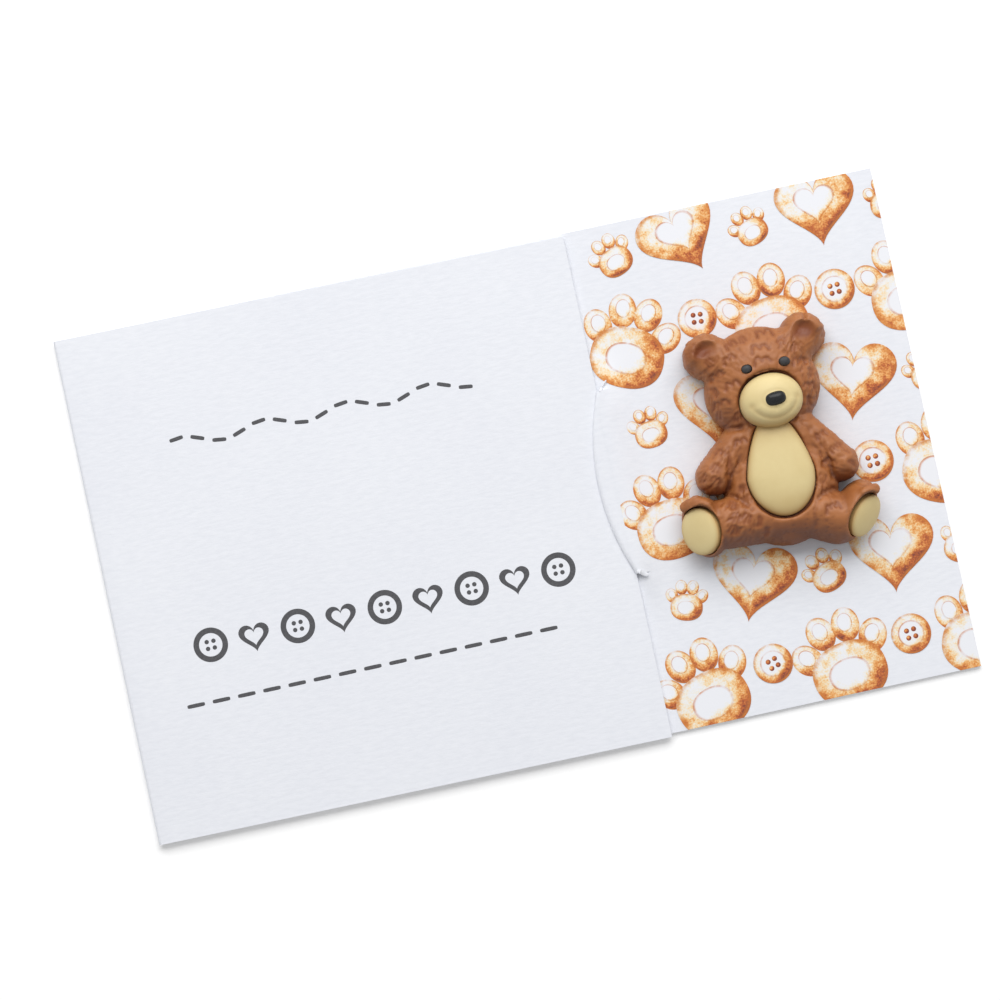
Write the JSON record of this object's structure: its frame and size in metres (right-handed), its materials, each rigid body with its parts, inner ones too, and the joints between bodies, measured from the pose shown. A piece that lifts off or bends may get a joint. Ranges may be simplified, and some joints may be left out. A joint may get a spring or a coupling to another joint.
{
  "type": "card with a bear-shaped button",
  "caption": "Folded white card with a half-moon tuck tab, holding a moulded bear-shaped button fixed to its back panel for sale and display.",
  "frame": {"origin": "centre of the back panel's underside, on the surface that the card lies on", "axes": "+X along the card from the fold to the button end, +Y across the card towards the bear's head, +Z out of the front"},
  "size_m": [0.09, 0.0554, 0.0078],
  "materials": {
    "card_stock": "matt, smooth",
    "adhesive": "dull",
    "brown_plastic": "satin, fur marks",
    "cream_plastic": "satin",
    "black_plastic": "gloss",
    "slate_plastic": "satin"
  },
  "bodies": {
    "root": {"card": "card_stock", "glue_dot": "adhesive", "bear_body": "brown_plastic", "muzzle": "cream_plastic", "nose": "black_plastic", "left_eye": "slate_plastic", "right_eye": "slate_plastic", "tummy_panel": "cream_plastic", "left_foot_pad": "cream_plastic", "right_foot_pad": "cream_plastic"}
  },
  "joints": []
}
